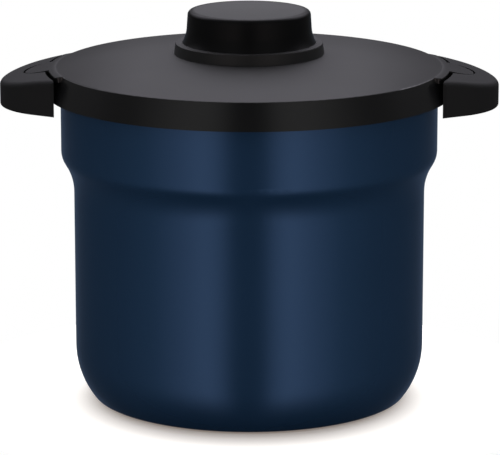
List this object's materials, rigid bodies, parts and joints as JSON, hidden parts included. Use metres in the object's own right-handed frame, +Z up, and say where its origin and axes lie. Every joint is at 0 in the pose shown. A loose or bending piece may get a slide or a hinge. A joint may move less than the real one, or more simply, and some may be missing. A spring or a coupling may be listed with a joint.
{
  "type": "thermal cooker",
  "caption": "Vacuum insulated steel container with a flared neck, side handles and a knobbed insulated lid, holding a glass-lidded cooking pot with folding wire handles.",
  "frame": {"origin": "on the floor under the container's vertical axis, at the bottom centre of the bounding box", "axes": "+Z up along the container's axis; +X through the right side handle; -Y towards the viewer of the picture"},
  "size_m": [0.314, 0.255, 0.2468],
  "materials": {
    "painted_shell": "gloss",
    "stainless_sheet": "satin",
    "polished_stainless": "polished",
    "screw_steel": "satin",
    "seal_metal": "matte",
    "foil": "polished",
    "base_aluminium": "satin",
    "black_plastic": "satin",
    "grey_plastic": "satin",
    "grip_plastic": "satin",
    "foam": "matte",
    "lid_glass": "polished"
  },
  "bodies": {
    "container": {"outer_shell": "painted_shell", "outer_bottom": "stainless_sheet", "vacuum_seal": "seal_metal", "getter": "seal_metal", "base_cover": "black_plastic", "inner_liner": "stainless_sheet", "reflective_foil": "foil", "right_handle": "black_plastic", "left_handle": "black_plastic", "right_handle_bracket": "stainless_sheet", "left_handle_bracket": "stainless_sheet", "right_handle_screws": "screw_steel", "left_handle_screws": "screw_steel"},
    "pot": {"pot_body": "polished_stainless", "pot_base_core": "base_aluminium", "pot_base_cap": "polished_stainless", "pot_handle_bracket_right": "polished_stainless", "pot_handle_bracket_left": "polished_stainless"},
    "pot_handle_right": {"pot_handle_wire_right": "polished_stainless", "pot_handle_grip_right": "grip_plastic"},
    "pot_handle_left": {"pot_handle_wire_left": "polished_stainless", "pot_handle_grip_left": "grip_plastic"},
    "pot_lid": {"pot_lid_glass": "lid_glass", "pot_lid_rim": "polished_stainless", "pot_lid_vent": "polished_stainless", "pot_lid_knob_base": "polished_stainless", "pot_lid_knob": "grip_plastic", "pot_lid_knob_washer": "screw_steel", "pot_lid_knob_screw": "screw_steel"},
    "outer_lid": {"lid_top_cover": "black_plastic", "lid_inner_cover": "grey_plastic", "lid_insulation": "foam", "lid_knob": "black_plastic", "lid_knob_screws": "screw_steel"}
  },
  "joints": [
    {"name": "pot_lift", "type": "slide", "parent": "container", "child": "pot", "axis": [0, 0, 1], "range_m": [0, 0.2]},
    {"name": "pot_lid_lift", "type": "slide", "parent": "pot", "child": "pot_lid", "axis": [0, 0, 1], "range_m": [0, 0.12]},
    {"name": "outer_lid_lift", "type": "slide", "parent": "pot_lid", "child": "outer_lid", "axis": [0, 0, 1], "range_m": [0, 0.16]},
    {"name": "pot_handle_right_fold", "type": "hinge", "parent": "pot", "child": "pot_handle_right", "pos_m": [0.1058, 0, 0.1638], "axis": [0, -1, 0], "range_deg": [0, 78]},
    {"name": "pot_handle_left_fold", "type": "hinge", "parent": "pot", "child": "pot_handle_left", "pos_m": [-0.1058, 0, 0.1638], "axis": [0, 1, 0], "range_deg": [0, 78]}
  ]
}
